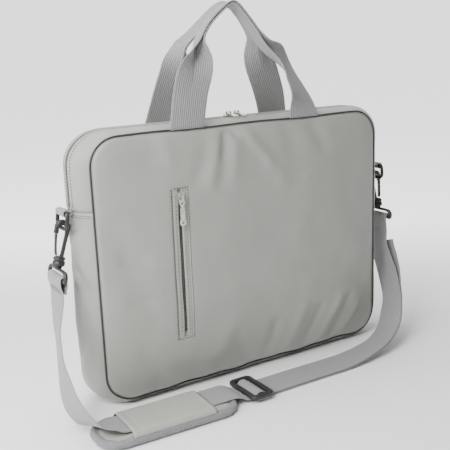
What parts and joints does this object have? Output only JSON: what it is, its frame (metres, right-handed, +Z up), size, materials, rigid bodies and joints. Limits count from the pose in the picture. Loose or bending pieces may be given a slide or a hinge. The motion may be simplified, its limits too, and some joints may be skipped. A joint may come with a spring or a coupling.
{
  "type": "laptop briefcase",
  "caption": "Slim soft laptop briefcase with webbing carry handles, a zipped mouth and front pocket, and a clip-on padded shoulder strap lying on the floor.",
  "frame": {"origin": "on the floor under the middle of the bag's base, between its front and back seams", "axes": "+X toward the end the strap's doubled webbing hangs from, +Y from the pocket side to the plain back, +Z up"},
  "size_m": [0.4779, 0.1612, 0.428],
  "materials": {
    "pu_leather": "matte grained grey polyurethane",
    "lining_fabric": "woven lining",
    "piping_cord": "dark bound edge",
    "grey_webbing": "ribbed woven webbing",
    "zip_tape": "woven zip tape",
    "nickel": "bright nickel plate",
    "black_plastic": "moulded black plastic",
    "stiffener": "stiff board",
    "knit_binding": "knitted edge binding"
  },
  "bodies": {
    "bag": {"front_panel": "pu_leather", "back_panel_lower": "pu_leather", "lower_gusset": "pu_leather", "front_zip_strip": "pu_leather", "zip_tape_front": "zip_tape", "front_piping": "piping_cord", "back_piping_lower": "piping_cord", "base_board": "stiffener", "laptop_divider": "lining_fabric", "pocket_welt": "pu_leather", "pocket_zip_tape_left": "zip_tape", "pocket_zip_tape_right": "zip_tape", "pocket_lining": "lining_fabric", "left_tab": "grey_webbing", "right_tab": "grey_webbing", "shoulder_strap": "grey_webbing", "strap_return": "grey_webbing", "tri_glide": "black_plastic"},
    "mouth": {"back_panel_upper": "pu_leather", "back_zip_strip": "pu_leather", "zip_tape_back": "zip_tape", "back_piping_upper": "piping_cord"},
    "front_carry": {"front_handle": "grey_webbing"},
    "back_carry": {"back_handle": "grey_webbing"},
    "left_zip": {"left_zip_slider": "nickel"},
    "right_zip": {"right_zip_slider": "nickel"},
    "left_zip_pull": {"left_zip_puller": "nickel"},
    "right_zip_pull": {"right_zip_puller": "nickel"},
    "pocket_zip": {"pocket_slider": "nickel"},
    "pocket_pull": {"pocket_puller": "nickel"},
    "divider_tie": {"divider_strap": "grey_webbing"},
    "pad": {"pad_body": "pu_leather", "pad_binding": "knit_binding", "pad_band": "pu_leather"},
    "left_ring": {"left_d_ring": "black_plastic"},
    "left_eye": {"left_swivel_eye": "black_plastic"},
    "left_hook": {"left_snap_hook": "black_plastic"},
    "left_gate_leaf": {"left_gate": "black_plastic"},
    "right_ring": {"right_d_ring": "black_plastic"},
    "right_eye": {"right_swivel_eye": "black_plastic"},
    "right_hook": {"right_snap_hook": "black_plastic"},
    "right_gate_leaf": {"right_gate": "black_plastic"}
  },
  "joints": [
    {"name": "left_zip_slide", "type": "slide", "parent": "bag", "child": "left_zip", "axis": [-1, 0, 0], "range_m": [0, 0.15]},
    {"name": "right_zip_slide", "type": "slide", "parent": "bag", "child": "right_zip", "axis": [1, 0, 0], "range_m": [0, 0.15]},
    {"name": "left_zip_puller_swing", "type": "hinge", "parent": "left_zip", "child": "left_zip_pull", "pos_m": [-0.0055, -0.0026, 0.30436], "axis": [-1, 0, 0], "range_deg": [0, 100]},
    {"name": "right_zip_puller_swing", "type": "hinge", "parent": "right_zip", "child": "right_zip_pull", "pos_m": [0.0055, -0.0026, 0.30436], "axis": [-1, 0, 0], "range_deg": [0, 100]},
    {"name": "mouth_fold", "type": "hinge", "parent": "bag", "child": "mouth", "pos_m": [0, 0.0434, 0.2184], "axis": [-1, 0, 0], "range_deg": [0, 35]},
    {"name": "front_handle_fold", "type": "hinge", "parent": "bag", "child": "front_carry", "pos_m": [0, -0.0298, 0.2985], "axis": [1, 0, 0], "range_deg": [0, 105]},
    {"name": "back_handle_fold", "type": "hinge", "parent": "mouth", "child": "back_carry", "pos_m": [0, 0.0298, 0.2985], "axis": [-1, 0, 0], "range_deg": [0, 105]},
    {"name": "pocket_slide", "type": "slide", "parent": "bag", "child": "pocket_zip", "axis": [0, 0, -1], "range_m": [0, 0.135]},
    {"name": "pocket_puller_swing", "type": "hinge", "parent": "pocket_zip", "child": "pocket_pull", "pos_m": [-0.0975, -0.04877, 0.2229], "axis": [-1, 0, 0], "range_deg": [0, 100]},
    {"name": "divider_strap_lift", "type": "hinge", "parent": "bag", "child": "divider_tie", "pos_m": [0, 0.0385, 0.2068], "axis": [-1, 0, 0], "range_deg": [0, 75]},
    {"name": "left_ring_swing", "type": "hinge", "parent": "bag", "child": "left_ring", "pos_m": [-0.2113, 0, 0.2187], "axis": [0, 1, 0], "range_deg": [-1, 20]},
    {"name": "left_eye_swing", "type": "hinge", "parent": "left_ring", "child": "left_eye", "pos_m": [-0.21302, 0, 0.20229], "axis": [0, 1, 0], "range_deg": [-28, 2]},
    {"name": "left_hook_swivel", "type": "hinge", "parent": "left_eye", "child": "left_hook", "pos_m": [-0.21302, 0, 0.20229], "axis": [0.1908, 0, 0.9816], "range_deg": [-18, 18]},
    {"name": "left_gate_press", "type": "hinge", "parent": "left_hook", "child": "left_gate_leaf", "pos_m": [-0.22286, 0, 0.17425], "axis": [0, 1, 0], "range_deg": [0, 14], "stiffness_Nm_per_rad": 0.02},
    {"name": "right_ring_swing", "type": "hinge", "parent": "bag", "child": "right_ring", "pos_m": [0.218, 0, 0.2187], "axis": [0, -1, 0], "range_deg": [-1, 20]},
    {"name": "right_eye_swing", "type": "hinge", "parent": "right_ring", "child": "right_eye", "pos_m": [0.21973, 0, 0.20229], "axis": [0, -1, 0], "range_deg": [-28, 2]},
    {"name": "right_hook_swivel", "type": "hinge", "parent": "right_eye", "child": "right_hook", "pos_m": [0.21973, 0, 0.20229], "axis": [-0.1219, 0, 0.9925], "range_deg": [-18, 18]},
    {"name": "right_gate_press", "type": "hinge", "parent": "right_hook", "child": "right_gate_leaf", "pos_m": [0.22758, 0, 0.17363], "axis": [0, -1, 0], "range_deg": [0, 14], "stiffness_Nm_per_rad": 0.02},
    {"name": "pad_slide", "type": "slide", "parent": "bag", "child": "pad", "axis": [0.9994, -0.0349, 0], "range_m": [-0.003, 0.003]}
  ],
  "couplings": [
    {"joint": "right_zip_slide", "follows": "left_zip_slide", "ratio": 1},
    {"joint": "mouth_fold", "follows": "left_zip_slide", "rad_per_m": 4.0721},
    {"joint": "left_eye_swing", "follows": "left_ring_swing", "ratio": -1.3143},
    {"joint": "right_eye_swing", "follows": "right_ring_swing", "ratio": -1.3143}
  ]
}
